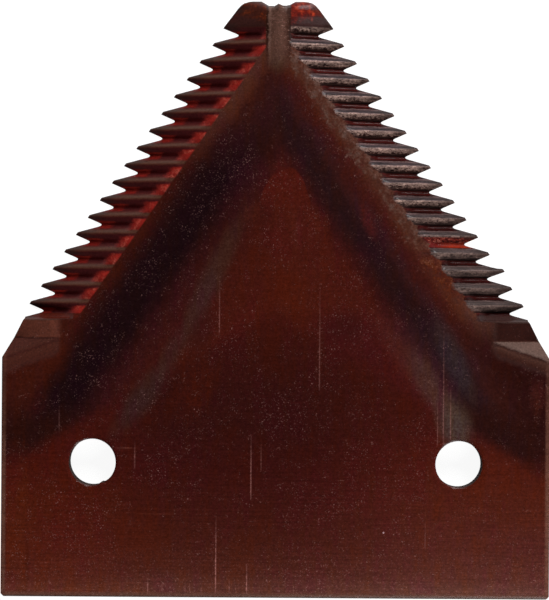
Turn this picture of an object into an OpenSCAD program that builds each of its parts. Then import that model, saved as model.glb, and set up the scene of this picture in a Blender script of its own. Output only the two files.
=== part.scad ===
// Mower knife section: one hardened steel plate with a square base for two rivets
// and two bevelled cutting edges, each with a row of V grooves across its bevel.
// Millimetres. The origin is midway between the rivet holes on the back face, +Y points
// to the tip and +Z up through the plate, so the section lies flat on z = 0.

/* [Blank] */
// Width of the base along the knife back
base_w = 76; // [70:0.5:84]
// Rear edge of the base to the two horns of the tip
overall_l = 83; // [76:0.5:95]
// Thickness of the plate
plate_t = 3; // [2.4:0.1:3.6]
// Straight side of the base, from the rear edge to the shoulder chamfer
side_l = 33.1; // [28:0.1:34.5]
// Rear edge to the shoulder corner where the cutting edge begins
shoulder_l = 38.55; // [37:0.05:42]
// How far the shoulder corner lies inside the side of the base
shoulder_in = 2.85; // [1.5:0.05:5]
// Leg of the small break at the rear corners of the base
corner_leg = 0.4; // [0.2:0.1:3]

/* [Rivet holes] */
// Distance between the two rivet holes
hole_spacing = 50.8; // [44:0.1:56]
// Diameter of a rivet hole
hole_d = 6.5; // [5:0.1:9]
// Rear edge to the line through the rivet holes
rivet_back = 18.65; // [14:0.05:24]

/* [Tip] */
// Width between the two lines of teeth at the tip
tip_w = 9.1; // [7.6:0.1:11]
// Rounding of the two horns of the tip
tip_round = 1.3; // [0.4:0.1:2]
// How far the middle of the tip lies behind the horns
tip_dip = 0.6; // [0.2:0.1:1]
// How far the plain edge of a horn stands outside the line of teeth
horn_out = 0.3; // [0:0.05:0.6]
// Width of the ridge left between the two bevels at the tip
ridge_w = 2.7; // [1.8:0.1:4]
// Draft of the two side walls of that ridge
ridge_draft = 20; // [5:1:30]

/* [Cutting edges] */
// Sideways bow of the line of teeth between shoulder and tip
edge_bow = 0.63; // [0:0.03:1.2]
// Thickness left at the points of the teeth
edge_t = 0.2; // [0.1:0.05:0.5]
// Width of the bevel, measured square to the centre line
bevel_w = 8.3; // [7:0.1:9.5]
// How far the line of teeth passes outside the shoulder corner
shoulder_trim = 0.7; // [0:0.1:1.2]

/* [Serration] */
// Number of V grooves in each cutting edge
groove_count = 17; // [10:1:20]
// Horns of the tip to the bottom of the first groove, along the centre line
plain_tip_l = 4.82; // [4:0.02:7]
// Bottom of the last groove to the shoulder corner, along the centre line
last_gap = 0.96; // [0.7:0.02:1.6]
// How far the bottom of a groove reaches in behind the line of teeth
groove_reach = 3; // [2:0.1:3.6]
// Legs of the rounding in the bottom of a groove
root_round = 0.35; // [0.1:0.05:0.6]
// Legs of the rounding on the crest of a tooth
crest_round = 0.25; // [0.1:0.05:0.5]
// Steepness of the wall that closes the inner end of a groove
end_wall_deg = 50; // [35:1:70]
// How far the closing walls lie outside the inner end of the bevel
end_wall_out = 0.4; // [0:0.1:0.8]

/* [Shoulder] */
// Length of the plain facet below the last groove, along the centre line
facet_l = 2.75; // [2:0.05:3.3]
// Width of that facet, measured in from the shoulder corner
facet_w = 5.15; // [4:0.05:6.5]
// Length of the steep step from the last groove up to the facet
facet_step = 0.28; // [0.16:0.02:0.6]

/* [Rolled edges] */
// Width of the drawn-in band of the face beside the serration
lip_w = 2.2; // [1:0.1:3.2]
// Slope of the drawn-in band
lip_deg = 6; // [2:0.5:9]
// Width of the edge rolled over by punching
roll_w = 0.65; // [0.3:0.05:1.2]
// Drop of the rolled edge at the outline
roll_h = 0.25; // [0.1:0.05:0.5]

/* [Hidden] */
steel = [0.31, 0.16, 0.13];
$fn = 96;
soft_steps = 4;
edge_steps = 20;
over = 1;
far = 120;
rear_y = -rivet_back;
tip_y = overall_l - rivet_back;
side_y = rear_y + side_l;
shoulder_y = rear_y + shoulder_l;
shoulder_x = base_w / 2 - shoulder_in;
foot_x = shoulder_x + shoulder_trim;
facet_x = shoulder_x - facet_w;
facet_y = shoulder_y - facet_l;
run_x = base_w / 2 - shoulder_in / 10;
bevel_deg = atan((plate_t - edge_t) / bevel_w);
line_deg = atan((foot_x - tip_w / 2) / (tip_y - shoulder_y));
run_deg = atan2(run_x - facet_x, facet_y - side_y);
first_root_y = tip_y - plain_tip_l;
last_root_y = shoulder_y + last_gap;
groove_pitch = (first_root_y - last_root_y) / (groove_count - 1);
rim_w = roll_w * 0.4;
rim_h = roll_h * 0.6;

// half width of the line of teeth at a place along the centre line
function share(y) = (y - shoulder_y) / (tip_y - shoulder_y);
function tooth_line(y) =
    foot_x + (tip_w / 2 - foot_x) * share(y) + 4 * edge_bow * share(y) * (1 - share(y));

// how high a point lies over the slope that all the grooves run along
function rise(x, z) = x * sin(bevel_deg) + z * cos(bevel_deg);

// soft corner at k, on the way from a to b, with legs of length c
function unit(v) = v / norm(v);
function soft(a, k, b, c) = [
    for (i = [0 : soft_steps])
        let (s = i / soft_steps)
            k + pow(1 - s, 2) * c * unit(a - k) + pow(s, 2) * c * unit(b - k)
];

// crests and groove bottoms of one edge, seen along the grooves
function root_y(i) = first_root_y - i * groove_pitch;
function crest_y(i) = root_y(i) + groove_pitch / 2;
function root(i) = [rise(tooth_line(root_y(i)) - groove_reach, 0), root_y(i)];
function crest(i) =
    i < 0 ? [rise(tooth_line(tip_y) + horn_out, edge_t), tip_y] :
    i == 0 ? [rise(tooth_line(crest_y(0)) + horn_out, edge_t), crest_y(0)] :
    i < groove_count ? [rise(tooth_line(crest_y(i)), edge_t), crest_y(i)] :
    [rise(shoulder_x, edge_t), shoulder_y];

// crest and groove together, softened, for one tooth
function tooth(i) = concat(
    soft(i == 0 ? crest(-1) : root(i - 1), crest(i), root(i), crest_round),
    soft(crest(i), root(i), crest(i + 1), root_round)
);

// plain facet below the last groove, and its run-out up to the face
function facet() = [
    crest(groove_count),
    [rise(facet_x, plate_t), shoulder_y - facet_step],
    [rise(facet_x, plate_t), facet_y],
    [rise(facet_x, plate_t), facet_y] + 2 * [rise(run_x, plate_t) - rise(facet_x, plate_t), side_y - facet_y]
];

// everything that the serration takes away, as one profile across the grooves
function rack() = concat(
    [crest(-1) + over * 2 * unit(crest(-1) - crest(0))],
    [for (i = [0 : groove_count - 1]) for (p = tooth(i)) p],
    facet(),
    [[far / 2, 2 * side_y - facet_y], [far / 2, tip_y + over * 2]]
);

// right half of the outline, from the rear corner to the dip in the tip
function horn_corner() = [tooth_line(tip_y) + horn_out, tip_y];
function horn_foot() = [tooth_line(first_root_y) + horn_out, first_root_y];
function dip_edge() = [ridge_w / 2 + tip_dip * 1.7, tip_y];
function right_half() = concat(
    [[base_w / 2 - corner_leg, rear_y], [base_w / 2, rear_y + corner_leg]],
    [[base_w / 2, side_y], [shoulder_x, shoulder_y]],
    [
        for (i = [0 : edge_steps])
            let (y = last_root_y + (first_root_y - last_root_y) * i / edge_steps)
                [tooth_line(y), y]
    ],
    [horn_foot()],
    soft(horn_foot(), horn_corner(), dip_edge(), tip_round),
    [dip_edge(), [ridge_w / 2, tip_y - tip_dip]]
);
function left_half() = [
    for (i = [len(right_half()) - 1 : -1 : 0])
        [-right_half()[i][0], right_half()[i][1]]
];

// prism along a line on the face: x runs square to the line, y of the profile is height
module along(start, turn, profile) {
    translate([start[0], start[1], 0])
        rotate([0, 0, turn])
            rotate([90, 0, 0])
                linear_extrude(height = 2 * far, center = true)
                    polygon(profile);
}

// everything above a slope that leaves the face at x = -back and falls by grade
function above_slope(back, grade) = [
    [-back - over / grade, plate_t + over],
    [far, plate_t - (far + back) * grade],
    [far, plate_t + over]
];

// the space outside a wall that meets the face at x = 0 and leans out by lean degrees
function outside_wall(lean) = [
    [-over * tan(lean), plate_t + over],
    [(plate_t + over) * tan(lean), -over],
    [far, -over],
    [far, plate_t + over]
];

module blank() {
    linear_extrude(height = plate_t)
        polygon(concat(right_half(), left_half()));
}

// V grooves, horn bevel, facet and run-out of the right-hand edge
module serration() {
    intersection() {
        rotate([0, bevel_deg - 90, 0])
            linear_extrude(height = 2 * far, center = true)
                polygon(rack());
        along([foot_x - bevel_w + end_wall_out, shoulder_y], line_deg, outside_wall(90 - end_wall_deg));
        along([ridge_w / 2, 0], 0, outside_wall(ridge_draft));
    }
}

// shallow band that the pressing of the serration drew in, ended below the shoulder
module drawn_lip() {
    intersection() {
        along([foot_x - bevel_w, shoulder_y], line_deg, above_slope(lip_w, tan(lip_deg)));
        along([facet_x, facet_y], run_deg, above_slope(lip_w, tan(lip_deg)));
    }
}

// edges of the base rolled over by the punch
module rolled_edges() {
    along([0, rear_y], -90, above_slope(roll_w, roll_h / roll_w));
    for (side = [0, 1])
        mirror([side, 0, 0])
            along([base_w / 2, 0], 0, above_slope(roll_w, roll_h / roll_w));
}

// rivet hole with its rolled rim
module rivet_hole() {
    translate([0, 0, -over])
        cylinder(d = hole_d, h = plate_t + 2 * over);
    translate([0, 0, plate_t - rim_h])
        cylinder(d1 = hole_d, d2 = hole_d + 4 * rim_w, h = 2 * rim_h);
}

module knife_section() {
    color(steel)
        difference() {
            blank();
            for (side = [0, 1])
                mirror([side, 0, 0]) {
                    serration();
                    drawn_lip();
                    translate([hole_spacing / 2, 0, 0])
                        rivet_hole();
                }
            rolled_edges();
        }
}

knife_section();
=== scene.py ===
# %% [markdown]
# # A mower knife section in lacquered steel
# A knife section is one punched plate of hardened steel. Rivets hold its square base to a knife bar, and its
# two bevelled edges are pressed into teeth. It leaves the works dipped in a thin red-brown lacquer, and the
# blue-black bands of the hardening flame show through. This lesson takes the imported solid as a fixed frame,
# softens a copy of it where the press and the lacquer softened the real one, and then builds the finish.

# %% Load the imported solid
import math

import bmesh
import bpy
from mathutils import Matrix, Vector


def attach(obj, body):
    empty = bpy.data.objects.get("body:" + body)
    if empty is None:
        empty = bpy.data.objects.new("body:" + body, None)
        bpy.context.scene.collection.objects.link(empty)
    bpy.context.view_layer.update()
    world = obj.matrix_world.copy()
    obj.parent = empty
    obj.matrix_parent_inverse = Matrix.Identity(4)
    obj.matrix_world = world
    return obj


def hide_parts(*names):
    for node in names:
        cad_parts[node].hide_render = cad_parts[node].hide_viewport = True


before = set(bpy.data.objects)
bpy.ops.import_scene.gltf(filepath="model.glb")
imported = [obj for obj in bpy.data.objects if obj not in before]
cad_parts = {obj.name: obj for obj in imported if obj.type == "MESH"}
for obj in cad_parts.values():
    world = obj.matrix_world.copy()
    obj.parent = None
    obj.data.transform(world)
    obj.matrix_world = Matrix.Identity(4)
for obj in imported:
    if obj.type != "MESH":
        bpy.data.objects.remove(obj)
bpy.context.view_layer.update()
MM = 0.001

# %% [markdown]
# ## Start from a merged copy
# The solid arrives as loose triangles, which can't be cut or smoothed as one skin. A copy is welded at its
# seams, and triangles that lie in one plane are dissolved into whole faces, so that every edge left is a real
# edge of the part. The solid itself stays untouched, because the physics model uses it.

# %% Copy and weld
WELD = 0.002    # mm between two points that are one
LEVEL = 0.4     # degrees between faces that count as one plane
plate_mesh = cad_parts["knife_section"].data.copy()
plate_mesh.materials.clear()
section = bpy.data.objects.new("lacquered_section", plate_mesh)
bpy.context.scene.collection.objects.link(section)
bpy.ops.object.select_all(action="DESELECT")
section.select_set(True)
bpy.context.view_layer.objects.active = section
bpy.ops.object.mode_set(mode="EDIT")
bpy.ops.mesh.select_all(action="SELECT")
bpy.ops.mesh.customdata_custom_splitnormals_clear()
bpy.ops.mesh.remove_doubles(threshold=WELD * MM)
bpy.ops.mesh.dissolve_limited(angle_limit=math.radians(LEVEL))
bpy.ops.object.mode_set(mode="OBJECT")
print("welded copy:", len(plate_mesh.vertices), "points,", len(plate_mesh.polygons), "faces")

# %% [markdown]
# ## Cut the top into small cells
# A big flat face has points only at its rim, so smooth shading would smear every soft fold right across it.
# Bisecting the top every 0.6 mm both ways gives each fold cells of its own, and the folds then shade as the
# short, soft roll of a pressed plate. The back stays as it is, because it lies flat.

# %% Bisect the top both ways
CELL = 0.6
CUTS = ((0, -37.8, 37.8), (1, -18.3, 64.2))    # axis, first and last cut in mm
NEAR = 0.01                                    # mm, a cut this close to a point runs through it
BACK = -0.5                                    # faces that look further down than this are the back
bpy.ops.object.mode_set(mode="EDIT")
for axis, first, last in CUTS:
    for step in range(int((last - first) / CELL) + 1):
        cells = bmesh.from_edit_mesh(plate_mesh)
        for face in cells.faces:
            face.select_set(face.normal.z > BACK)
        bmesh.update_edit_mesh(plate_mesh)
        cut = Vector((0, 0, 0))
        cut[axis] = (first + step * CELL) * MM
        across = Vector((0, 0, 0))
        across[axis] = 1
        bpy.ops.mesh.bisect(plane_co=cut, plane_no=across, threshold=NEAR * MM)
bpy.ops.mesh.select_mode(type="VERT")
bpy.ops.object.mode_set(mode="OBJECT")
print("cells:", len(plate_mesh.vertices), "points,", len(plate_mesh.polygons), "faces")

# %% [markdown]
# ## Round the teeth
# Pressed teeth have no crisp edges: metal flows over the crest, and lacquer fills the groove. Smoothing the
# points of the bevel rounds both at once. The left teeth carry more lacquer, so they get more rounds of it than
# the right ones, which are rubbed nearly bare. Points near the back face stay, so that the outline of the
# tooth points keeps its bite.

# %% Smooth crests and grooves
TOOTH_LINE, ACROSS, ALONG = 34.03, 0.824, 0.566    # the line where the teeth end: distance in mm and its normal
BEVEL_FOOT, BEVEL_TOP = 0.4, 2.97                  # mm, the heights between which the bevel is smoothed
LAST_TOOTH, OVER_LINE = 20.2, 0.3                  # mm, the bevel's lower end, and how far it may pass the line
ROUNDS = ((-1, 14), (1, 5))                        # side and rounds of smoothing


def inside_line(point):
    """Distance in millimetres from the line where the teeth end, measured in towards the middle."""
    return (TOOTH_LINE * MM - ACROSS * abs(point.x) - ALONG * point.y) / MM


def pick_points(wanted):
    skin = bmesh.from_edit_mesh(plate_mesh)
    for point in skin.verts:
        point.select_set(wanted(point.co))
    skin.select_flush(True)
    bmesh.update_edit_mesh(plate_mesh)
    return sum(point.select for point in skin.verts)


def on_bevel(p):
    return BEVEL_FOOT < p.z / MM < BEVEL_TOP and p.y > LAST_TOOTH * MM and inside_line(p) < OVER_LINE


bpy.ops.object.mode_set(mode="EDIT")
for side, rounds in ROUNDS:
    softened = pick_points(lambda p: on_bevel(p) and p.x * side > 0)
    bpy.ops.mesh.vertices_smooth(factor=0.5, repeat=rounds)
    print("teeth on side", side, ":", softened, "points smoothed", rounds, "times")
bpy.ops.object.mode_set(mode="OBJECT")

# %% [markdown]
# ## Blend the shoulders
# Below the last tooth a plain facet runs out to the face. In the solid it ends in a straight fold; on the real
# plate the punch dragged that fold into a round. Smoothing its points does the same. Points close to the
# outline are left out, because smoothing would pull the silhouette in.

# %% Smooth the run-outs
POINT_LINE, POINT_ACROSS, POINT_ALONG = 40.36, 0.886, 0.463    # the line of the tooth points, in the same way
SIDE, MARGIN = 37.3, 0.45                                      # mm, how near the outline points stay
FOLD_IN, FOLD_LOW, FOLD_HIGH, FOLD_UP = 28.6, 12.8, 17.9, 1.5  # mm, where the folds lie


def off_outline(p):
    from_points = POINT_LINE * MM - POINT_ACROSS * abs(p.x) - POINT_ALONG * p.y
    return abs(p.x) < SIDE * MM and from_points > MARGIN * MM


bpy.ops.object.mode_set(mode="EDIT")
blended = pick_points(lambda p: abs(p.x) > FOLD_IN * MM and FOLD_LOW < p.y / MM < FOLD_HIGH
                      and p.z > FOLD_UP * MM and off_outline(p))
bpy.ops.mesh.vertices_smooth(factor=0.5, repeat=7)
bpy.ops.object.mode_set(mode="OBJECT")
print("points blended at the shoulders:", blended)

# %% [markdown]
# ## Lumpy lips
# The lips beside the teeth are lumpy with scale that the press cracked, the right one more than the left. A
# seeded random move of their points gives such lumps, the same ones on every run. Points that rise above the
# face are then pressed level with it, so that the plate keeps its thickness.

# %% Lumpy lips
LIPS = ((1, 2.6, 0.07), (-1, 1.2, 0.03))    # side, inner border and size of the lumps in mm
LIP_SIDE, LIP_UP, LIP_END, LIP_OUT = 1.6, 2.3, 17.5, -0.6    # mm, the ridge, the height and both borders
PLATE = 3                                   # mm, the thickness
bpy.ops.object.mode_set(mode="EDIT")
for side, inner, amount in LIPS:
    lumps = pick_points(lambda p: p.x * side > LIP_SIDE * MM and p.z > LIP_UP * MM and p.y > LIP_END * MM
                        and LIP_OUT < inside_line(p) < inner)
    bpy.ops.transform.vertex_random(offset=amount * MM, uniform=0.3, normal=0.0, seed=7)
    print("lip on side", side, ":", lumps, "points moved up to", amount, "mm")
proud = pick_points(lambda p: p.z > (PLATE + 0.0001) * MM)
bpy.ops.transform.resize(value=(1, 1, 0), center_override=(0, 0, PLATE * MM))
bpy.ops.object.mode_set(mode="OBJECT")
print("points pressed back level with the face:", proud)

# %% [markdown]
# ## Bent tooth and drop
# One tooth on the right has a bent, drawn-out point, and a drop of lacquer has set on the wall of the left hole.
# Both could be sculpted, but a small pull on a few points does the same and can be measured. The table holds
# the middle, the reach and the direction of each pull in millimetres.

# %% One bent tooth and one drop
PULLS = (
    ((31.2, 26.9), 1.2, (0.14, 0.0, 0.05)),
    ((31.3, 26.9), 0.55, (0.34, 0.08, 0.08)),
    ((-24.25, -3.04), 0.34, (-0.05, 0.14, 0.0)))
bpy.ops.object.mode_set(mode="EDIT")
for (at_x, at_y), reach, pull in PULLS:
    pulled = pick_points(lambda p: math.hypot(p.x - at_x * MM, p.y - at_y * MM) < reach * MM)
    bpy.ops.transform.translate(value=[v * MM for v in pull])
    print("pulled", pulled, "points at", at_x, at_y)
bpy.ops.object.mode_set(mode="OBJECT")

# %% [markdown]
# ## Shading
# The rolled folds of the plate look round, and the edges that the punch sheared stay sharp. Edges could be marked
# sharp one by one, but shading by angle does both at once: faces that meet at less than the angle shade as one,
# and steeper ones keep their edge.

# %% Shade
SHARP = 34    # degrees
bpy.ops.object.select_all(action="DESELECT")
section.select_set(True)
bpy.context.view_layer.objects.active = section
bpy.ops.object.shade_smooth_by_angle(angle=math.radians(SHARP))
print("faces shaded smooth:", sum(face.use_smooth for face in plate_mesh.polygons))

# %% [markdown]
# ## The finish: red-brown lacquer over heat-tinted steel
# The lacquer is a thin, clear film, stained red-brown, and the steel under it gives most of the pattern: black
# and grey bands where the flame hardened the edges, orange where it stayed soft. So one material carries
# everything, and its places are measured on the plate in millimetres. The colours are written as the eye sees
# them, in hex, and one function turns them to the linear values that the shader needs. One more function adds
# a node with its settings and feeds its sockets, so that a node takes one line.

# %% Colours and nodes
def linear(hex_colour):
    channels = [int(hex_colour[i:i + 2], 16) / 255 for i in (1, 3, 5)]
    return tuple(c / 12.92 if c <= 0.04045 else ((c + 0.055) / 1.055) ** 2.4 for c in channels) + (1.0,)


def add(tree, kind, feeds, stops=None, span=(0.0, 1.0), out=0, **settings):
    node = tree.nodes.new("ShaderNode" + kind)
    for name, value in settings.items():
        setattr(node, name, value)
    for name, value in feeds.items():
        if isinstance(value, bpy.types.NodeSocket):
            tree.links.new(value, node.inputs[name])
        else:
            node.inputs[name].default_value = value
    if stops:
        elements = node.color_ramp.elements
        while len(elements) < len(stops):
            elements.new(1.0)
        for element, (place, colour) in zip(elements, stops):
            element.position = (place - span[0]) / (span[1] - span[0])
            element.color = linear(colour)
    return node.outputs[out] if len(node.outputs) else node


# Lacquer on hardened steel gives the eye a deep red-brown with a soft gloss, blue-black where the flame ran.
lacquer = bpy.data.materials.new("red_brown_lacquer_on_hardened_steel")
lacquer.use_nodes = True
paint = lacquer.node_tree
paint.nodes.clear()
print("started", lacquer.name)

# %% [markdown]
# ## Short words for the common nodes
# Nearly every mask and colour below is made by a handful of nodes, so each gets a short function. `calc` and
# `times` do sums. `spread` turns a measure into a mask, and `fade` does the same with soft ends. `ramp` and `mix`
# make colours, and `noise` makes blotches, with its scale given per millimetre.

# %% Functions for the lacquer
SOFT = {"interpolation_type": "SMOOTHSTEP"}


def calc(operation, *values):
    return add(paint, "Math", dict(enumerate(values)), operation=operation)


def times(first, *others):
    for other in others:
        first = calc("MULTIPLY", first, other)
    return first


def spread(value, start, end, low=0.0, high=1.0, **settings):
    return add(paint, "MapRange", {0: value, 1: start, 2: end, 3: low, 4: high}, **settings)


def fade(*values):
    return spread(*values, **SOFT)


def mix(amount, under, over, **settings):
    under, over = (linear(tone) if isinstance(tone, str) else tone for tone in (under, over))
    return add(paint, "Mix", {0: amount, 6: under, 7: over}, data_type="RGBA", out=2, **settings)


def ramp(value, stops, span=(0.0, 1.0)):
    return add(paint, "ValToRGB", {0: value}, stops, span)


def noise(vector, scale, detail, roughness):
    return add(paint, "TexNoise", {"Vector": vector, "Scale": scale, "Detail": detail, "Roughness": roughness})


print("functions ready:", [word.__name__ for word in (calc, times, spread, fade, mix, ramp, noise)])

# %% [markdown]
# ## Places on the plate
# Every mark on the plate has a place, so the nodes first turn Object coordinates into millimetres and measure
# from them how far a point lies from the centre line, how far inside the line of the teeth, on which side, and
# which way its face looks.

# %% Measure
place = add(paint, "TexCoord", {}, out="Object")
facing = add(paint, "TexCoord", {}, out="Normal")
mm = add(paint, "VectorMath", {0: place, "Scale": 1000.0}, operation="SCALE")
x = add(paint, "SeparateXYZ", {0: mm}, out=0)
y = add(paint, "SeparateXYZ", {0: mm}, out=1)
z = add(paint, "SeparateXYZ", {0: mm}, out=2)
up = add(paint, "SeparateXYZ", {0: facing}, out=2)
half = calc("ABSOLUTE", x)
inward = calc("MULTIPLY_ADD", half, -ACROSS, TOOTH_LINE)
inward = calc("MULTIPLY_ADD", y, -ALONG, inward)
on_right = fade(x, -0.3, 0.3)
print("measuring nodes:", len(paint.nodes))

# %% [markdown]
# ## Unevenness
# Lacquer and scale are uneven at several sizes at once. Noise textures give clouds of 6 mm, blotches of 1 mm
# and grit of 0.3 mm. Stretched ones give the lines of the grinding belt, which run across the plate, and the
# runs of the lacquer, which follow the way it hung to dry. The belt's real lines are finer than a pixel of the
# picture, so they are drawn 0.3 mm apart.

# %% Noise at several sizes
cloud = noise(mm, 0.16, 3.0, 0.55)
mottle = noise(mm, 0.9, 5.0, 0.7)
grit = noise(mm, 3.5, 3.0, 0.7)
along_belt = add(paint, "VectorMath", {0: mm, 1: (0.12, 3.5, 1.0)}, operation="MULTIPLY")
belt = noise(along_belt, 1.0, 3.0, 0.65)
along_run = add(paint, "VectorMath", {0: mm, 1: (1.0, 0.14, 1.0)}, operation="MULTIPLY")
runs = noise(along_run, 1.1, 4.0, 0.65)
sway = calc("MULTIPLY_ADD", cloud, 3.0, -2.5)
sway = calc("MULTIPLY_ADD", mottle, 2.0, sway)
wander = calc("ADD", inward, sway)
swayed_x = calc("ADD", x, sway)
print("with the noises:", len(paint.nodes), "nodes")

# %% [markdown]
# ## Heat bands
# The flame ran along both edges. From the teeth inwards the plate goes from brown through blue-black and a
# crimson brown to orange, so a colour ramp over the distance from the line of the teeth paints a whole band.
# The bands change along the edge, so each side has one ramp for its upper and one for its lower part. The
# noise added to the distance keeps their borders from looking ruled.

# %% Bands on both sides
BAND = (-12.0, 20.0)
band = spread(wander, BAND[0], BAND[1])
left_high = ramp(band, [
    (-12, "#4a2a22"), (0, "#4b2a22"), (1.2, "#45211a"), (2.2, "#351613"), (4.5, "#301414"), (8, "#2f1412"),
    (10, "#331410"), (20, "#34150f")], BAND)
left_low = ramp(band, [
    (-12, "#3a160f"), (-6, "#38140f"), (-0.6, "#3b160f"), (0.4, "#3a150e"), (1.2, "#30110d"), (2, "#270f0e"),
    (3.2, "#1c0b0d"), (6.2, "#190a0d"), (7.3, "#210d0e"), (8.6, "#2d1010"), (10, "#341312"), (12, "#3a1410"),
    (14.5, "#40160f"), (20, "#44170f")], BAND)
right_high = ramp(band, [
    (-12, "#4c2e26"), (0, "#4f3027"), (1, "#49251b"), (2, "#401a13"), (3, "#3b1613"), (4.2, "#331718"),
    (5.3, "#281213"), (6.8, "#251214"), (8.0, "#2b1212"), (9.4, "#381311"), (11, "#441710"), (20, "#47190f")], BAND)
right_low = ramp(band, [
    (-12, "#2a0f0d"), (-1, "#290f0d"), (1.5, "#2e1210"), (3.2, "#331717"), (5, "#2a161a"), (6.5, "#26151a"),
    (8, "#31181c"), (9.6, "#3f1c1d"), (11.2, "#461c1a"), (13, "#401413"), (20, "#3c130f")], BAND)
to_left_high = fade(y, 39.0, 50.0)
to_right_high = fade(y, 15.0, 23.0)
to_right = fade(swayed_x, -1.5, 1.5)
left_bands = mix(to_left_high, left_low, left_high)
right_bands = mix(to_right_high, right_low, right_high)
bands = mix(to_right, left_bands, right_bands)
print("heat bands in place")

# %% [markdown]
# ## Base of the plate
# Behind the rivet holes the lacquer is plain: dark crimson in the middle, orange at the left, lighter towards
# the rear edge. One ramp along the length for each of the three would leave seams, so soft masks across the
# plate lead from one to the next.

# %% Base
REAR = (-19.0, 24.0)
rear = spread(y, REAR[0], REAR[1])
base_middle = ramp(rear, [
    (-19, "#60392f"), (-17, "#572f27"), (-15, "#4c231b"), (-11, "#431b14"), (-6, "#3d1611"), (-1, "#38120f"),
    (5, "#32110e"), (10, "#32110e"), (16, "#38130e"), (20, "#3e140e"), (24, "#43160f")], REAR)
base_left = ramp(rear, [
    (-19, "#643629"), (-16, "#54241a"), (-12, "#4f1d13"), (-5, "#49190d"), (1, "#42140e"), (24, "#40140e")], REAR)
base_right = ramp(rear, [
    (-19, "#6c453b"), (-16, "#5a2f27"), (-12, "#53261f"), (-6, "#4f2016"), (0, "#4a1a11"), (5, "#421610"),
    (24, "#3e140f")], REAR)
towards_left = fade(swayed_x, -13.0, -30.0)
towards_right = fade(swayed_x, 0.0, 27.0)
base = mix(towards_left, base_middle, base_left)
base = mix(towards_right, base, base_right)
print("base colours in place")

# %% [markdown]
# ## Where the bands end
# The heat bands stop above the holes. Their border falls off outwards on both sides, so the mask between bands
# and base is a slanted one, frayed by the noise. The dark core of each band thins to brown before it.

# %% Border of the bands
fall = calc("MAXIMUM", wander, 5.0)
fall = calc("MULTIPLY_ADD", fall, -1.2, 6.0)
fall = calc("ADD", y, fall)
fall = calc("MULTIPLY_ADD", to_right, 1.6, fall)
fall = calc("MULTIPLY_ADD", sway, 1.0, fall)
in_base = fade(fall, 3.6, -1.4)
swayed_y = calc("ADD", y, sway)
core_end = fade(swayed_y, 9.5, 5.0, 0.0, 0.8)
in_core = fade(wander, 9.6, 7.6)
core_end = times(core_end, in_core)
bands = mix(core_end, bands, "#29100d")
face = mix(in_base, bands, base)
print("bands and base joined")

# %% [markdown]
# ## Single tints on the face
# Some marks happen once: a grey streak of scale on each side, a bluish patch at the right shoulder, a pale speck
# near a hole. Each is a soft oval, turned along the edge it follows, so one short table holds them all and a
# loop makes the nodes. The numbers are the middle, the half length and half width in millimetres, the turn in
# degrees and how much of the face's colour the tint replaces.

# %% Ovals
TINTS = (
    ("#3a2622", -9.2, 25.0, 12.5, 1.9, 64.5, 0.8), ("#35221f", -18.6, 9.0, 7.5, 2.0, 54, 0.85),
    ("#321411", -10.4, 18.2, 4.2, 2.0, 65, 0.7), ("#3e140c", -11.0, 10.0, 5.5, 3.0, 60, 0.7),
    ("#38241f", -14.6, 15.2, 5.0, 1.5, 65, 0.6),
    ("#441c14", -3.6, 34.6, 2.0, 1.4, 60, 0.6), ("#2a1016", -4.8, 40.0, 4.0, 2.6, 60, 0.5),
    ("#341210", 9.2, 18.8, 4.6, 2.8, 0, 0.8), ("#463a36", 24.8, 5.6, 4.8, 2.6, 108, 1.0),
    ("#47302c", 20.9, 11.6, 6.0, 2.0, 122, 0.8), ("#34292b", 24.7, 14.4, 7.2, 2.0, 114, 0.8),
    ("#4a1c10", 5.4, 33.6, 2.6, 1.6, 110, 0.6), ("#4d211c", 2.6, 33.0, 4.0, 1.0, 95, 0.4),
    ("#35181d", 12.0, 34.6, 6.0, 1.4, 121, 0.4), ("#5a1c14", 12.6, 33.6, 3.2, 1.1, 110, 0.35),
    ("#45201f", 17.4, 15.6, 5.0, 1.5, 125, 0.4), ("#431c16", 36.2, 9.5, 3.0, 1.4, 90, 0.7),
    ("#4c1810", 21.5, 1.6, 3.0, 2.4, 20, 0.4), ("#453229", 0.0, 56.2, 2.4, 1.9, 90, 0.85),
    ("#51200f", -35.6, -9.0, 12.0, 2.2, 90, 0.5), ("#38140f", -33.5, 8.0, 2.6, 2.0, 40, 0.6),
    ("#3f160c", -34.3, -13.0, 6.5, 0.35, 90, 0.5), ("#6a3c34", -20.9, 2.0, 1.7, 0.14, 0, 0.5),
    ("#5c2c22", -16.6, -7.1, 3.6, 0.12, 0, 0.5), ("#b09a94", 15.0, -9.5, 0.17, 0.17, 0, 1.0))
patchy = spread(grit, 0.3, 0.64, 0.5, 1.0)
for tone, at_x, at_y, length, width, turn, amount in TINTS:
    spot = add(paint, "Mapping", {
        "Vector": mm, "Location": (at_x, at_y, 0.0), "Rotation": (0.0, 0.0, math.radians(turn)),
        "Scale": (length, width, 1000.0)}, vector_type="TEXTURE")
    spot = add(paint, "VectorMath", {0: spot}, operation="LENGTH", out="Value")
    spot = calc("MULTIPLY_ADD", runs, 0.9, spot)
    spot = fade(spot, 1.6, 0.7, 0.0, amount)
    spot = times(spot, patchy)
    face = mix(spot, face, tone)
print("single tints:", len(TINTS))

# %% [markdown]
# ## Orange cap
# Between the two bands the middle of the blade stayed soft and orange, and it ends below the tip in a round cap.
# An oval has the wrong top, so a cubic curve across the plate draws it. Blotches fray it, and a soft foot lets
# it run out into the face.

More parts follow.
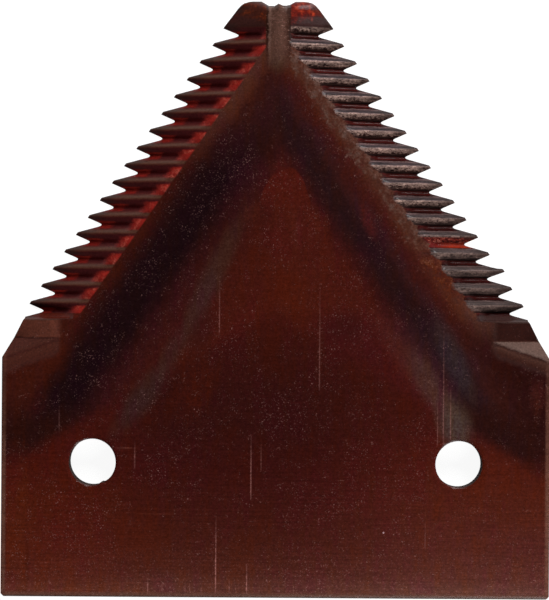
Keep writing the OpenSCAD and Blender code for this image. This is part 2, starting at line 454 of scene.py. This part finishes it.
# %% Cap
CAP_HALF, CAP_MIDDLE = 2.7, 0.7
cap_x = calc("MULTIPLY_ADD", x, 1 / CAP_HALF, -CAP_MIDDLE / CAP_HALF)
cap_x = calc("ABSOLUTE", cap_x)
cap_x = calc("POWER", cap_x, 3.0)
cap_y = calc("MULTIPLY_ADD", mottle, 0.8, y)
cap_y = calc("MULTIPLY_ADD", x, -0.35, cap_y)
cap = calc("MULTIPLY_ADD", cap_x, 2.0, cap_y)
cap = fade(cap, 41.0, 40.5, 0.0, 0.8)
cap_foot = fade(y, 34.0, 38.0)
cap = times(cap, cap_foot)
face = mix(cap, face, "#4a180f")
print("cap in place")

# %% [markdown]
# ## Drift of the hue
# A film that hangs to dry is thicker in some runs than in others, and its hue drifts from amber to plum. A nearly
# white tint, multiplied over the whole face, gives that without touching the bands.

# %% Hue
hue = calc("MULTIPLY_ADD", cloud, 0.8, runs)
hue = spread(hue, 0.72, 1.08)
hue = ramp(hue, [(0.0, "#ffeed6"), (0.5, "#f6f2f2"), (1.0, "#fae4fc")])
face = mix(1.0, face, hue, blend_type="MULTIPLY")
print("hue drifts over the face")

# %% [markdown]
# ## Teeth on the left
# Lacquer hung on this side: the crests carry a thin grey-brown film, lightened by a painted highlight, the grooves
# are dark, and a thick red drop has dried at the inner and the outer end of each groove. The teeth repeat, so the
# place within a tooth is measured as a fraction, 0 in a groove and 0.5 on a crest, and one ramp over it paints
# every tooth. The drops follow in steps of their own.

# %% Left teeth
PITCH = 2.4169    # mm from tooth to tooth
ROOT = 59.53      # mm, the first groove
down = calc("MULTIPLY_ADD", y, -1 / PITCH, ROOT / PITCH)
uneven_down = calc("MULTIPLY_ADD", mottle, 0.14, down)
uneven_down = calc("SUBTRACT", uneven_down, 0.07)
phase = calc("FRACT", uneven_down)
# The light grey-brown stops from 0.32 to 0.44 are partly the film and partly a painted highlight on the crest.
left_teeth = ramp(phase, [
    (0.00, "#3c0f10"), (0.12, "#3c1414"), (0.22, "#421c1a"), (0.32, "#472a21"), (0.44, "#4b2e24"),
    (0.53, "#431d18"), (0.60, "#3e1516"), (0.78, "#4a1617"), (0.92, "#4e1213"), (1.00, "#3c0f10")])
print("left teeth in place, pitch", PITCH, "mm")

# %% [markdown]
# ## Drops at the inner ends
# A thick red drop dried against the steep wall at the inner end of each groove. The place within the tooth,
# counted from the crest, gives its colour and its two ends, and the distance from the line of the teeth gives
# its reach. A painted highlight lies where its skin turns to the light.

# %% Inner drops
from_crest = calc("SUBTRACT", uneven_down, 0.55)
from_crest = calc("FRACT", from_crest)
inner_colour = ramp(from_crest, [
    (0.08, "#761e19"), (0.25, "#8c241d"), (0.42, "#84211b"), (0.62, "#6c1a15"), (0.90, "#501410")])
# Painted highlight on the drop, strongest next to the lip.
painted_drop_highlight = fade(mottle, 0.48, 0.66)
at_lip = fade(inward, -1.3, -0.3, 0.12, 0.6)
painted_drop_highlight = times(painted_drop_highlight, at_lip)
inner_colour = mix(painted_drop_highlight, inner_colour, "#bc5c4c")
inner_edge = calc("MULTIPLY_ADD", mottle, 1.2, inward)
inner_drop = fade(inner_edge, -1.2, -0.3)
inner_start = fade(from_crest, 0.05, 0.17)
inner_stop = fade(from_crest, 0.82, 0.66)
inner_drop = times(inner_drop, inner_start, inner_stop)
left_teeth = mix(inner_drop, left_teeth, inner_colour)
print("inner drops in place")

# %% [markdown]
# ## Drops at the outer ends
# Smaller and brighter drops hang where each groove opens to the outside. They are made in the same way, counted
# from the bottom of the groove.

# %% Outer drops
around_root = calc("ADD", uneven_down, 0.30)
around_root = calc("FRACT", around_root)
outer_colour = ramp(around_root, [
    (0.06, "#a62c20"), (0.20, "#94261c"), (0.34, "#721a15"), (0.55, "#501310")])
outer_drop = fade(inner_edge, -2.6, -3.3)
outer_start = fade(around_root, 0.05, 0.15)
outer_stop = fade(around_root, 0.58, 0.44)
outer_drop = times(outer_drop, outer_start, outer_stop)
left_teeth = mix(outer_drop, left_teeth, outer_colour)
print("outer drops in place")

# %% [markdown]
# ## Teeth on the right
# Here the film is rubbed through. Lower flanks show scraped, pinkish steel, and their pale colour is partly a
# painted highlight; upper flanks are a darker grey, partly painted shade. Only the bottom of each groove keeps its
# dark red lacquer, and the black line and dark band beside it are painted shadow. The same fraction of a tooth as
# on the left carries another ramp.

# %% Right teeth
# Pale stops 0.51 to 0.70: scraped steel and painted highlight; dark stops at 0.21 and 0.86 to 0.91: painted shadow.
right_teeth = ramp(phase, [
    (0.00, "#3a0f0d"), (0.13, "#320d0b"), (0.21, "#1e0a09"), (0.26, "#5c4847"), (0.30, "#423233"),
    (0.36, "#3b3032"), (0.41, "#221a1b"), (0.46, "#403032"), (0.51, "#765e58"), (0.57, "#7a615a"),
    (0.70, "#705850"), (0.80, "#46302a"), (0.86, "#1c0a08"), (0.91, "#1c0a08"), (0.96, "#3c110e"),
    (1.00, "#3a0f0d")])
print("right teeth in place")

# %% [markdown]
# ## Flecks on the flanks
# Where the lower flanks were scraped, dark scale is left in the pits, and the high spots are bare steel whose pale
# colour is partly a painted glint. One noise, with flecks 0.45 mm long and 0.26 mm wide, gives both: its low values
# are dark, its high ones light, and the balance shifts to dark towards the foot of the flank.

# %% Flecks
fleck_place = add(paint, "VectorMath", {0: mm, 1: (2.2, 3.8, 1.0)}, operation="MULTIPLY")
fleck = noise(fleck_place, 1.0, 4.0, 0.75)
fleck_low = spread(phase, 0.52, 0.86, 0.06, -0.10)
fleck_low = calc("ADD", fleck, fleck_low)
dark_fleck = fade(fleck_low, 0.49, 0.42)
steel_and_glint_fleck = fade(fleck_low, 0.55, 0.65)
flank_start = fade(phase, 0.47, 0.54)
flank_stop = fade(phase, 0.86, 0.80)
flank = times(flank_start, flank_stop)
dark_fleck = times(dark_fleck, flank)
steel_and_glint_fleck = times(steel_and_glint_fleck, flank)
right_teeth = mix(dark_fleck, right_teeth, "#1e0b09")
# Pale flecks: bare steel, partly a painted glint.
right_teeth = mix(steel_and_glint_fleck, right_teeth, "#a88c80")
print("flecks in place")

# %% [markdown]
# ## Rubbing
# Towards the shoulder the flanks are evener and darker, because less was scraped there, and fine lines run along
# every groove. So a plain grey-brown is mixed in towards the shoulder, and the belt noise multiplies the rest.

# %% Rubbed flanks
even = fade(y, 40.0, 24.0, 0.0, 0.55)
even_start = fade(phase, 0.21, 0.28)
even = times(even, even_start, flank_stop)
right_teeth = mix(even, right_teeth, "#5a4945")
rubbed = fade(y, 24.0, 46.0, 0.7, 1.12)
drawn = spread(belt, 0.35, 0.65, 0.6, 1.4)
rubbed = times(rubbed, drawn)
right_teeth = mix(1.0, right_teeth, rubbed, blend_type="MULTIPLY")
print("flanks rubbed")

# %% [markdown]
# ## The full groove
# One groove on the right is still full of red lacquer: a smooth pool below, brighter towards its outer end, and a
# torn skin with dark and pale flecks above it. A mask around that groove's own place lays both over the tooth.

# %% Full groove
FULL_AT = 30.8    # mm
full_groove = calc("SUBTRACT", y, FULL_AT)
full_groove = calc("ABSOLUTE", full_groove)
full_groove = fade(full_groove, 0.85, 0.6)
clot_colour = ramp(fleck, [
    (0.38, "#1e0a08"), (0.47, "#4a1410"), (0.56, "#6e241c"), (0.66, "#b06c5c")])
pool_end = fade(x, 21.5, 24.5)
pool = mix(pool_end, "#5a1615", "#852616")
above_pool = calc("MULTIPLY_ADD", mottle, 0.6, y)
above_pool = fade(above_pool, 30.95, 31.2)
clot_colour = mix(above_pool, pool, clot_colour)
right_teeth = mix(full_groove, right_teeth, clot_colour)
print("full groove at", FULL_AT, "mm")

# %% [markdown]
# ## Both rows
# The two rows of teeth meet on the centre line. The last flank, next to the shoulder, has no groove below it, and
# is plain brown on the left and grey on the right.

# %% Both rows of teeth
teeth = mix(on_right, left_teeth, right_teeth)
last_flank = fade(y, 20.75, 20.5)
last_colour = mix(on_right, "#46170f", "#33201e")
teeth = mix(last_flank, teeth, last_colour)
print("both rows in place")

# %% [markdown]
# ## Horns of the tip
# The two plain horns at the tip caught the last drops: dark brown on the left, a thick orange-red on the right,
# thinning to grey-pink steel below. Their brightest orange blotches are partly painted highlights on the clotted
# lacquer. Blotches choose the colour, and a slanted, frayed mask ends the thick part.

# %% Horns
# The brightest stops of both horn ramps are partly painted highlights on the clots.
horn_left = ramp(mottle, [
    (0.0, "#2e120d"), (0.48, "#3a1912"), (0.60, "#4c1e11"), (0.70, "#6e2e16"), (1.0, "#7c3418")])
horn_right = ramp(mottle, [
    (0.0, "#280907"), (0.42, "#460e0a"), (0.54, "#5c140b"), (0.64, "#902e18"), (1.0, "#b65034")])
horn = mix(on_right, horn_left, horn_right)
horn_low = mix(on_right, "#331a17", "#34201f")
horn_top = calc("MULTIPLY_ADD", mottle, 2.4, y)
horn_top = calc("MULTIPLY_ADD", half, -0.3, horn_top)
horn_top = fade(horn_top, 61.4, 62.7)
horn = mix(horn_top, horn_low, horn)
on_horn = fade(y, 60.5, 60.8)
teeth = mix(on_horn, teeth, horn)
print("horns in place")

# %% [markdown]
# ## Lips
# Between face and teeth runs the drawn-in lip. On the left it is a smooth brown edge, which the heat band already
# gives. On the right it is cracked scale, grey and pink above and orange below. Two ramps over the blotches paint
# the scale, and the same blotches fray its inner side.

# %% Lips
lump_high = ramp(mottle, [
    (0.34, "#33180f"), (0.46, "#45251c"), (0.56, "#4e332a"), (0.66, "#553f38"), (0.78, "#6a5046")])
lump_low = ramp(mottle, [
    (0.34, "#36140d"), (0.48, "#451a10"), (0.58, "#502210"), (0.72, "#6a3c26")])
lump_up = fade(y, 27.0, 32.5)
lumps = mix(lump_up, lump_low, lump_high)
lump_width = calc("MULTIPLY_ADD", mottle, -5.0, 2.5)
lump_width = calc("ADD", inward, lump_width)
on_lumps = fade(lump_width, 2.0, 0.6)
above_facet = fade(y, 20.0, 25.0)
on_lumps = times(on_lumps, on_right, above_facet, 0.85)
face = mix(on_lumps, face, lumps)
print("lips in place")

# %% [markdown]
# ## Border of the teeth
# Where lip and teeth meet, the border is nearly straight on the left. On the right it is ragged and bulges into
# the grooves, so there it follows the place within the tooth and the fleck noise. The points of the teeth, low
# over the floor, are darker on both sides.

# %% Border
groove = calc("MULTIPLY_ADD", phase, 2.0, -1.0)
groove = calc("ABSOLUTE", groove)
on_crest = fade(groove, 0.5, 0.3)
groove = times(groove, on_right)
border = calc("MULTIPLY_ADD", groove, 0.6, inward)
ragged = calc("MULTIPLY_ADD", fleck, 1.6, -0.8)
ragged = times(ragged, on_right)
border = calc("ADD", border, ragged)
outside = fade(border, 0.1, -0.2)
above_shoulder = fade(y, 19.6, 20.0)
off_ridge = fade(half, 1.3, 1.6)
top_side = fade(up, -0.5, -0.3)
in_teeth = times(above_shoulder, outside, off_ridge, top_side)
point = fade(z, 0.9, 0.3, 0.0, 0.7)
point = times(point, on_crest)
teeth = mix(point, teeth, "#2a1c19")
colour = mix(in_teeth, face, teeth)
print("teeth joined to the face")

# %% [markdown]
# ## Ridge at the tip
# The narrow ridge between the two bevels is worn to a grey-brown, with a painted highlight along its left edge,
# where that edge catches the light, and darker at the corners on both sides. A ramp across its width gives all
# three, and pale spots of painted highlight lie over it.

# %% Ridge
RIDGE = (-2.2, 2.2)
across_ridge = calc("MULTIPLY_ADD", mottle, 0.9, x)
across_ridge = spread(across_ridge, RIDGE[0] + 0.45, RIDGE[1] + 0.45)
# The light stop at -1.2 is a painted highlight on the left edge.
ridge_colour = ramp(across_ridge, [
    (-1.75, "#33190f"), (-1.45, "#2e1812"), (-1.2, "#684b41"), (-0.9, "#4e342b"), (0.4, "#53382f"),
    (0.9, "#4c3129"), (1.25, "#3a231c"), (1.6, "#28140f")], RIDGE)
# Pale spots: painted highlights.
pale = fade(fleck, 0.56, 0.70)
ridge_colour = mix(pale, ridge_colour, "#7e5e54")
ridge = fade(half, 1.9, 1.6)
ridge_end = fade(y, 54.5, 59.0)
ridge = times(ridge, ridge_end, top_side)
colour = mix(ridge, colour, ridge_colour)
print("ridge in place")

# %% [markdown]
# ## Shoulders
# Below the last tooth lies a plain facet, brown on the left and dark on the right. It ends in a straight line,
# and below it the run-out climbs to the face and meets it in a slanted fold. The run-out is brown on the left and
# pale on the right, where it is partly rubbed steel and partly a painted highlight. So one ramp runs along the
# plate and one across the slanted fold.

# %% Shoulders
FACET = (16.8, 18.4)
FOLD = (24.6, 28.6)
facet_level = calc("MULTIPLY_ADD", mottle, 0.4, y)
facet_level = spread(facet_level, FACET[0] + 0.2, FACET[1] + 0.2)
facet_left = ramp(facet_level, [
    (16.8, "#36160f"), (17.2, "#36160f"), (17.4, "#572b1f"), (18.4, "#572b1f")], FACET)
facet_right = ramp(facet_level, [
    (16.8, "#3c1c14"), (17.3, "#270c07"), (18.4, "#270c07")], FACET)
fold = calc("MULTIPLY_ADD", half, 0.35, y)
fold = calc("MULTIPLY_ADD", mottle, 0.8, fold)
fold_level = spread(fold, FOLD[0] + 0.4, FOLD[1] + 0.4)
run_left = ramp(fold_level, [
    (24.6, "#38140f"), (26.0, "#3f1a12"), (27.1, "#431e15"), (27.5, "#391610"), (27.9, "#432018"),
    (28.6, "#421f18")], FOLD)
# The pale stops from 27.7 up are partly rubbed steel, partly a painted highlight.
run_right = ramp(fold_level, [
    (24.6, "#2c100e"), (26.2, "#341710"), (27.0, "#43271f"), (27.35, "#2c140f"), (27.7, "#604b44"),
    (28.6, "#5c463f")], FOLD)
facet = mix(on_right, facet_left, facet_right)
run_out = mix(on_right, run_left, run_right)
print("shoulder colours in place")

# %% [markdown]
# ## Place of the shoulders
# The facet begins at the last tooth, and facet and run-out share a line across the plate. Three soft masks, along
# the plate, across it and over the slanted fold, keep the colours where the shoulders are.

# %% Masks of the shoulders
on_facet = fade(y, 16.95, 17.1)
shoulder = mix(on_facet, run_out, facet)
on_shoulder = fade(y, 19.95, 19.65)
shoulder_side = fade(half, 29.4, 31.0)
shoulder_end = fade(fold, 25.2, 26.8)
on_shoulder = times(on_shoulder, shoulder_side, shoulder_end)
colour = mix(on_shoulder, colour, shoulder)
print("shoulders in place")

# %% [markdown]
# ## Worn edges
# The edges rolled over by the punch are rubbed pale, most of all at the rear, and each ends in the grey of the
# torn wall. Blotches break the pale line up.

# %% Rolled edges
left_edge = fade(x, -37.2, -37.6)
right_edge = fade(x, 37.2, 37.6)
rear_edge = fade(y, -17.8, -18.2)
behind = spread(y, 14.0, -4.0, 0.3, 1.0)
side_edge = calc("MAXIMUM", left_edge, right_edge)
side_edge = times(side_edge, behind)
edge = calc("MAXIMUM", side_edge, rear_edge)
worn = spread(mottle, 0.32, 0.62, 0.6, 1.0)
edge = times(edge, worn)
colour = mix(edge, colour, "#644034")
brink = fade(y, -18.35, -18.5, 0.0, 0.8)
colour = mix(brink, colour, "#42352f")
wall = calc("ABSOLUTE", up)
wall = fade(wall, 0.5, 0.2)
wall_colour = ramp(fleck, [(0.3, "#1c110e"), (0.5, "#2c1d19"), (0.7, "#46342f")])
colour = mix(wall, colour, wall_colour)
print("edges in place")

# %% [markdown]
# ## Scratches
# Handling left fine scratches along the plate and burrs at the rear edge; the burrs' pale lines are painted
# highlights where they catch the light. Each is a thin line in one table: its place, its two ends and its
# strength. The real ones are thinner than a pixel, so they are drawn 0.15 mm wide and kept faint.

# %% Scratches
SCRATCHES = (
    (-7.9, 17.8, 25.6, 0.35), (6.0, 10.0, 25.5, 0.28), (-3.4, -5.2, 4.6, 0.5), (-8.2, -18.2, -7.0, 0.75),
    (-3.9, -18.2, -13.8, 0.85), (-17.6, -18.2, -15.8, 0.6), (-12.4, -18.2, -16.4, 0.35), (2.6, -18.2, -16.8, 0.3),
    (23.2, 2.5, 20.0, 0.32), (22.4, 2.5, 9.0, 0.3), (24.2, 3.0, 11.0, 0.35), (-19.5, -1.0, 3.2, 0.3),
    (-2.0, -1.2, 3.2, 0.2), (20.8, -12.0, -6.0, 0.12), (-30.0, 4.0, 8.0, 0.15), (-15.6, -18.2, -16.5, 0.3),
    (-11.8, -18.2, -16.4, 0.3), (-10.2, -18.2, -16.8, 0.3), (-6.3, -18.2, -16.0, 0.4), (-5.4, -18.2, -16.6, 0.3))
marks = None
for at, low_end, high_end, strength in SCRATCHES:
    line = calc("MULTIPLY_ADD", grit, 0.14, x)
    line = calc("SUBTRACT", line, at + 0.07)
    line = calc("ABSOLUTE", line)
    line = spread(line, 0.12, 0.02, 0.0, strength)
    begin = spread(y, low_end, low_end + 0.6)
    stop = spread(y, high_end, high_end - (high_end - low_end) * 0.6)
    line = times(line, begin, stop)
    marks = line if marks is None else calc("MAXIMUM", marks, line)
broken = spread(grit, 0.35, 0.6, 0.4, 1.0)
marks = times(marks, broken)
print("scratches:", len(SCRATCHES))

# %% [markdown]
# ## Specks
# Dust that settled in the wet film shows as pale specks of 0.2 mm. They sit in clusters, most of all towards the
# rear edge, so a fine noise is cut off high and multiplied by coarser ones. Neither specks nor scratches lie on
# the teeth.

# %% Specks of dust
specks = noise(mm, 4.9, 1.0, 0.6)
clusters = calc("MULTIPLY_ADD", cloud, 0.5, mottle)
clusters = spread(clusters, 0.72, 0.98)
rear_dust = spread(y, -9.0, -18.0, 0.0, 0.45)
clusters = calc("ADD", clusters, rear_dust)
specks = spread(specks, 0.60, 0.78, 0.0, 0.58)
specks = times(specks, clusters)
off_teeth = calc("SUBTRACT", 1.0, in_teeth)
marks = times(marks, off_teeth)
specks = times(specks, off_teeth)
# Pale scratches, and at the rear edge painted highlights of the burrs.
colour = mix(marks, colour, "#a06a64")
colour = mix(specks, colour, "#9c706a")
print("specks in place")

# %% [markdown]
# ## Grain and belt lines
# Close up, the film is grainy, and the lines of the grinding belt show through it, most of all on the base. Both
# multiply the finished colour, so that they follow every tone under them.

# %% Grain and lines
grain = spread(grit, 0.25, 0.75, 0.62, 1.38)
colour = mix(1.0, colour, grain, blend_type="MULTIPLY")
on_base = spread(y, 12.0, -6.0, 0.08, 0.17)
lines = spread(belt, 0.3, 0.7, -1.0, 1.0)
lines = calc("MULTIPLY_ADD", lines, on_base, 1.0)
colour = mix(1.0, colour, lines, blend_type="MULTIPLY")
print("colour complete:", len(paint.nodes), "nodes")

# %% [markdown]
# ## Surface
# The film is smooth but not mirror-bright and reflects little, the scraped flanks are bare steel under dull
# scale, and the shoulders and the torn, punched walls are matt. So roughness comes from the blotches and from
# those places, the metallic share from the flanks, and a faint bump keeps the gloss from looking machined.

# %% Shader
GLOSSY, SOFTER, MATT = 0.17, 0.26, 0.95    # roughness of the film, of its blotches and of scale
SPECULAR = 0.1                             # thin lacquer reflects little
BARE = 0.3                                 # metallic share of a scraped fleck
scraped = times(on_right, in_teeth)
# The right lower flanks, the shoulders and the walls are matt; the flanks' sheen is painted into the colour
# instead.
dull = fade(phase, 0.97, 0.92)
dull = times(dull, flank_start, scraped)
dull = calc("MAXIMUM", dull, on_shoulder)
dull = calc("MAXIMUM", dull, wall)
bare = times(scraped, steel_and_glint_fleck, BARE)
film = spread(mottle, 0.3, 0.7, GLOSSY, SOFTER)
rough = spread(dull, 0.0, 1.0, film, MATT)
uneven = calc("MULTIPLY_ADD", mottle, 2.0, grit)
relief = add(paint, "Bump", {"Strength": 0.25, "Distance": 0.00005, "Height": uneven})
shader = add(paint, "BsdfPrincipled", {
    "Base Color": colour, "Metallic": bare, "Roughness": rough, "Normal": relief, "Specular IOR Level": SPECULAR})
add(paint, "OutputMaterial", {0: shader})
plate_mesh.materials.append(lacquer)
print("finish on", section.name)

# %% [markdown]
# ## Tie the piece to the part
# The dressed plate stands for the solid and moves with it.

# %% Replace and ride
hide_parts("knife_section")
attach(section, "root")
print(section.name, "stands for knife_section")

# %% [markdown]
# ## Floor
# The plate lies on white paper. The paper glows a little for the camera and for reflections, so that it shows
# white without more light on the plate, and its matt part still takes the shadow.

# %% Paper
UNDER = -0.05    # mm, just below the plate
WHITE = 0.93     # glow, where 1 is pure white
bpy.ops.object.select_all(action="DESELECT")
bpy.ops.mesh.primitive_plane_add(size=3.0, location=(0, 0, UNDER * MM))
floor = bpy.context.object
floor.name = "pale_floor"
# White paper gives the eye an even, matt white that takes a soft shadow.
paper = bpy.data.materials.new("white_paper")
paper.use_nodes = True
sheet = paper.node_tree
sheet.nodes.clear()
seen = add(sheet, "LightPath", {}, out="Is Camera Ray")
for kind in ("Is Glossy Ray", "Is Transmission Ray"):
    ray = add(sheet, "LightPath", {}, out=kind)
    seen = add(sheet, "Math", {0: seen, 1: ray}, operation="MAXIMUM")
glow = add(sheet, "Math", {0: seen, 1: WHITE}, operation="MULTIPLY")
matt = add(sheet, "BsdfDiffuse", {"Color": linear("#808080")})
light = add(sheet, "Emission", {"Strength": glow})
both = add(sheet, "AddShader", {0: matt, 1: light})
add(sheet, "OutputMaterial", {0: both})
floor.data.materials.append(paper)
print("floor", floor.name, "at", round(floor.location.z / MM, 2), "mm")

# %% [markdown]
# ## Lamps
# Two soft windows light the plate from low at both ends, so that crests and rolled edges catch a line of light
# and the flat face stays deep. Each lamp has its direction and height in degrees, its size in metres and its power.

# %% Lamps
centre = Vector((0, 0.022, 0))
FAR = 0.7    # metres from the plate
LAMPS = (("front_window", 72, 28, (0.45, 0.3), 6.6), ("rear_window", -66, 30, (0.4, 0.3), 4.0))
for name, azimuth, elevation, size, power in LAMPS:
    a, e = math.radians(azimuth), math.radians(elevation)
    spot = centre + FAR * Vector((math.cos(a) * math.cos(e), math.sin(a) * math.cos(e), math.sin(e)))
    bpy.ops.object.light_add(type="AREA", location=spot)
    window = bpy.context.object
    window.name = name
    window.data.shape = "RECTANGLE"
    window.data.size, window.data.size_y = size
    window.data.energy = power
    window.rotation_euler = (centre - spot).to_track_quat("-Z", "Y").to_euler()
print("lamps:", [name for name, *_ in LAMPS])

# %% [markdown]
# ## Dome
# A pale dome fills the shadows. It is dark overhead, where a flat plate seen from above would mirror it, so the
# lacquer keeps its depth.

# %% Dome
world = bpy.data.worlds.new("studio_dome")
bpy.context.scene.world = world
world.use_nodes = True
dome = world.node_tree
dome.nodes.clear()
sky = add(dome, "TexCoord", {}, out="Generated")
height = add(dome, "SeparateXYZ", {0: sky}, out=2)
glow = add(dome, "MapRange", {0: height, 1: 0.0, 2: 0.55, 3: 0.5, 4: 0.02}, **SOFT)
air = add(dome, "Background", {"Strength": glow})
add(dome, "OutputWorld", {0: air})
print("dome", world.name, "in place")

# %% [markdown]
# ## Camera
# The plate is seen from straight above, and it lies turned by a fraction of a degree. So the camera looks straight
# down, turned by as much. Its lens follows from how large the plate appears at that distance.

# %% Camera
EYE = (-0.298, 22.63, 300)              # mm
TURN = 0.39                             # degrees
SENSOR, FOCAL, TALL = 36, 2145, 600     # mm, pixels, pixels
lens = bpy.data.cameras.new("overhead_camera")
lens.lens = SENSOR * FOCAL / TALL
camera = bpy.data.objects.new("overhead_camera", lens)
bpy.context.scene.collection.objects.link(camera)
camera.location = [v * MM for v in EYE]
camera.rotation_euler = (0, 0, math.radians(TURN))
bpy.context.scene.camera = camera
bpy.context.scene.view_settings.view_transform = "Standard"
print("camera", round(camera.location.z / MM), "mm above the floor, lens", round(lens.lens, 1), "mm")
